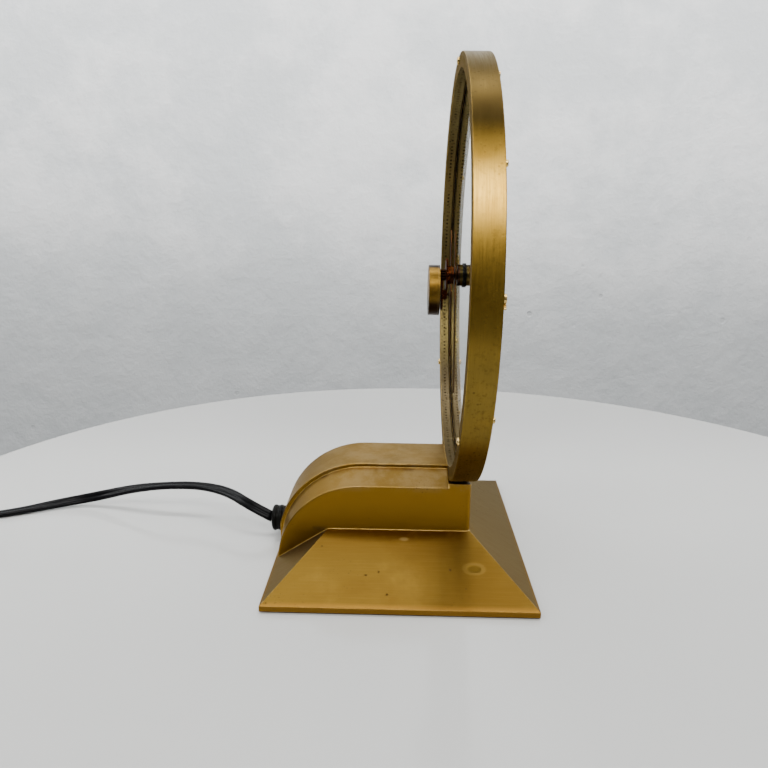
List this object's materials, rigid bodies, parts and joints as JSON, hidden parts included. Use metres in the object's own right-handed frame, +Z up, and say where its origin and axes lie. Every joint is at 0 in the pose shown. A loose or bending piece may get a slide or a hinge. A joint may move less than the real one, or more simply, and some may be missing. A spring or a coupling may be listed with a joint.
{
  "type": "mystery table clock",
  "caption": "Electric table clock whose glass disc turns inside a gold hoop on a stepped, flared base; a hanging weight drives the hour hand.",
  "frame": {"origin": "centre of the base's underside, on the table", "axes": "+Z up, +Y towards the clock's back where the cord leaves, +X to the right seen from the front"},
  "size_m": [0.1905, 0.329, 0.2286],
  "materials": {
    "base_gold": "aged satin gold plating with pits and rubbed edges",
    "ring_gold": "brushed gold plating, spotted with age",
    "mark_gold": "polished gold",
    "hand_gold": "lacquered brass, dulled",
    "train_brass": "cut brass",
    "weight_gold": "satin gold with a dull edge",
    "dark_steel": "blackened steel",
    "bright_steel": "zinc plated steel",
    "core_steel": "oiled laminations",
    "lead_slug": "cast lead",
    "cover_metal": "matt plate",
    "glass": "clear polished glass",
    "black_rubber": "moulded black",
    "nylon": "natural nylon",
    "bronze": "oil-filled bronze",
    "coil_tape": "varnished cloth tape",
    "cord_black": "glossy black",
    "plug_black": "moulded black",
    "pin_brass": "bright brass"
  },
  "bodies": {
    "root": {"base_shell": "base_gold", "bottom_cover": "cover_metal", "cover_screws": "bright_steel", "foot_pads": "black_rubber", "ring_rear_cup": "ring_gold", "ring_front_bezel": "ring_gold", "ring_mount_pads": "cover_metal", "ring_mount_screws": "bright_steel", "guide_bushes": "nylon", "guide_screws": "mark_gold", "numeral_12": "mark_gold", "numeral_3": "mark_gold", "numeral_6": "mark_gold", "numeral_9": "mark_gold", "hour_studs": "mark_gold", "gearcase_front_plate": "bright_steel", "gearcase_can": "bright_steel", "output_bush": "bronze", "rotor_housing": "bright_steel", "motor_core": "core_steel", "coil_bobbin": "nylon", "coil_winding": "coil_tape", "motor_bracket": "bright_steel", "bracket_screws": "bright_steel", "cord_grommet": "black_rubber", "cord_inner_end": "cord_black", "splice_caps": "cord_black", "coil_leads": "cord_black", "cord_tube": "cord_black", "cord_coil": "cord_black", "plug_body": "plug_black", "plug_pins": "pin_brass"},
    "dial": {"glass_disc": "glass", "ring_gear": "train_brass", "minute_arbor": "dark_steel", "hub_rear_washer": "black_rubber", "hub_collar": "train_brass", "hub_front_washer": "black_rubber", "hub_cap_nut": "weight_gold", "centre_pinion": "dark_steel", "arbor_clip": "dark_steel", "minute_hand": "hand_gold"},
    "hanging_weight": {"weight_plate": "weight_gold", "weight_can": "weight_gold", "weight_slug": "lead_slug", "idler_stud": "dark_steel"},
    "idler": {"idler_wheel": "train_brass"},
    "hour": {"hour_wheel": "train_brass", "hour_hand": "hand_gold"},
    "drive": {"drive_gear": "train_brass", "drive_shaft": "bright_steel"}
  },
  "joints": [
    {"name": "glass_spin", "type": "hinge", "parent": "root", "child": "dial", "pos_m": [0, -0.0287, 0.1334], "axis": [0, 1, 0], "continuous": true},
    {"name": "weight_swing", "type": "hinge", "parent": "dial", "child": "hanging_weight", "pos_m": [0, -0.0159, 0.1334], "axis": [0, 1, 0], "continuous": true},
    {"name": "idler_spin", "type": "hinge", "parent": "hanging_weight", "child": "idler", "pos_m": [0, -0.0185, 0.1244], "axis": [0, 1, 0], "continuous": true},
    {"name": "hour_spin", "type": "hinge", "parent": "hanging_weight", "child": "hour", "pos_m": [0, -0.0209, 0.1334], "axis": [0, 1, 0], "continuous": true},
    {"name": "drive_spin", "type": "hinge", "parent": "root", "child": "drive", "pos_m": [0, -0.0287, 0.03484], "axis": [0, 1, 0], "continuous": true}
  ],
  "couplings": [
    {"joint": "weight_swing", "follows": "glass_spin", "ratio": -1},
    {"joint": "idler_spin", "follows": "glass_spin", "ratio": -0.33333},
    {"joint": "hour_spin", "follows": "glass_spin", "ratio": 0.083333},
    {"joint": "drive_spin", "follows": "glass_spin", "ratio": -15}
  ]
}
